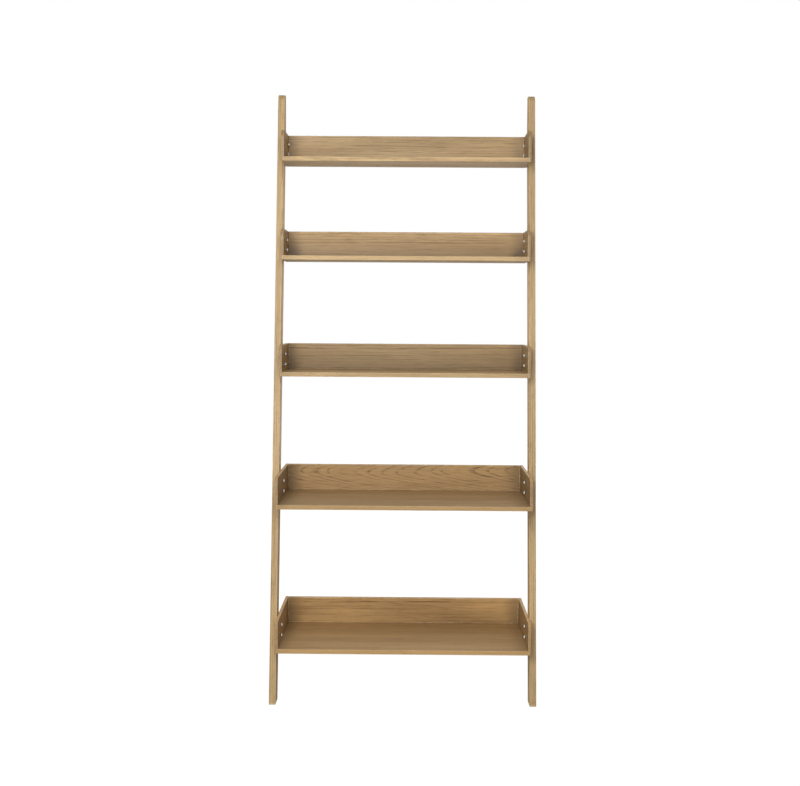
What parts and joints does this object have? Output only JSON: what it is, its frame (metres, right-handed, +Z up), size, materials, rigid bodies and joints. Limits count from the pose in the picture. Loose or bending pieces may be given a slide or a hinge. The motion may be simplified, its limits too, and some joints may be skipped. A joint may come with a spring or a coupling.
{
  "type": "ladder shelf",
  "caption": "Leaning ladder shelf in oak: slim slanted side rails carry open trays with raised backs and rounded cheeks, shallow at the top and deep below, bolted from inside.",
  "frame": {"origin": "middle of the base of the bounding box: on the floor, half way between the wall plane and the front of the deepest trays, and half way between the rails", "axes": "+X to the right as seen from the front, +Y to the wall behind, +Z up along the height"},
  "size_m": [0.78, 0.34, 1.804],
  "materials": {
    "rail_oak": "satin lacquered oak, grain along the rail",
    "floor_oak": "satin lacquered oak, grain across the shelf",
    "back_oak": "satin lacquered oak, grain across the shelf",
    "cheek_oak": "satin lacquered oak, grain front to back",
    "dowel_beech": "raw beech",
    "bolt_steel": "bright nickel-plated steel",
    "washer_steel": "bright plated steel",
    "insert_brass": "turned brass",
    "plate_steel": "zinc-plated steel",
    "screw_steel": "zinc-plated steel"
  },
  "bodies": {
    "root": {"left_rail": "rail_oak", "left_wall_plate": "plate_steel", "left_plate_screws": "screw_steel", "right_rail": "rail_oak", "right_wall_plate": "plate_steel", "right_plate_screws": "screw_steel", "bottom_tray_floor": "floor_oak", "bottom_tray_back": "back_oak", "bottom_tray_left_cheek": "cheek_oak", "bottom_tray_right_cheek": "cheek_oak", "bottom_tray_dowels": "dowel_beech", "bottom_tray_bolts": "bolt_steel", "bottom_tray_washers": "washer_steel", "bottom_tray_inserts": "insert_brass", "lower_tray_floor": "floor_oak", "lower_tray_back": "back_oak", "lower_tray_left_cheek": "cheek_oak", "lower_tray_right_cheek": "cheek_oak", "lower_tray_dowels": "dowel_beech", "lower_tray_bolts": "bolt_steel", "lower_tray_washers": "washer_steel", "lower_tray_inserts": "insert_brass", "middle_tray_floor": "floor_oak", "middle_tray_back": "back_oak", "middle_tray_left_cheek": "cheek_oak", "middle_tray_right_cheek": "cheek_oak", "middle_tray_dowels": "dowel_beech", "middle_tray_bolts": "bolt_steel", "middle_tray_washers": "washer_steel", "middle_tray_inserts": "insert_brass", "upper_tray_floor": "floor_oak", "upper_tray_back": "back_oak", "upper_tray_left_cheek": "cheek_oak", "upper_tray_right_cheek": "cheek_oak", "upper_tray_dowels": "dowel_beech", "upper_tray_bolts": "bolt_steel", "upper_tray_washers": "washer_steel", "upper_tray_inserts": "insert_brass", "top_tray_floor": "floor_oak", "top_tray_back": "back_oak", "top_tray_left_cheek": "cheek_oak", "top_tray_right_cheek": "cheek_oak", "top_tray_dowels": "dowel_beech", "top_tray_bolts": "bolt_steel", "top_tray_washers": "washer_steel", "top_tray_inserts": "insert_brass"}
  },
  "joints": []
}
